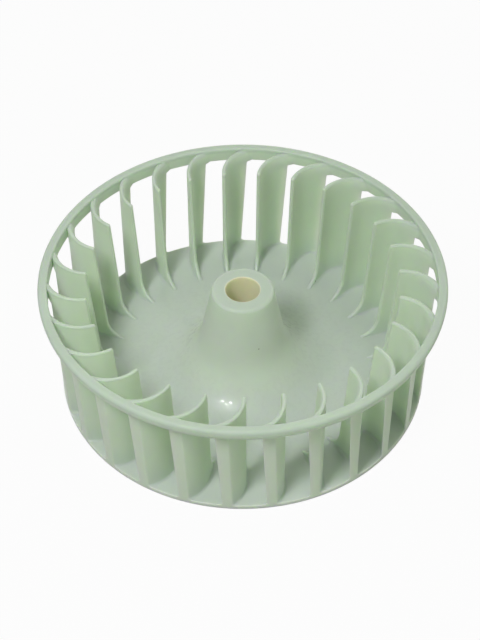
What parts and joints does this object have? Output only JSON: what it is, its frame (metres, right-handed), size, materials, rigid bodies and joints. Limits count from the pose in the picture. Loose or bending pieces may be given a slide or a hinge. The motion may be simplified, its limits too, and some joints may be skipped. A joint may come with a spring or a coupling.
{
  "type": "dryer fan impeller",
  "caption": "Squirrel-cage fan wheel for a clothes dryer: back disc with a tall flared hub and plain shaft bore, curved blades round its edge and a thin ring on their free ends.",
  "frame": {"origin": "centre of the disc's flat underside, which is the centre of the bounding box's bottom", "axes": "+Z along the shaft axis from the back disc to the open inlet end; +X and +Y across it"},
  "size_m": [0.15, 0.15, 0.049],
  "materials": {
    "natural_plastic": "uncoloured translucent pale green moulding with a soft satin surface"
  },
  "bodies": {
    "root": {"impeller": "natural_plastic"}
  },
  "joints": []
}
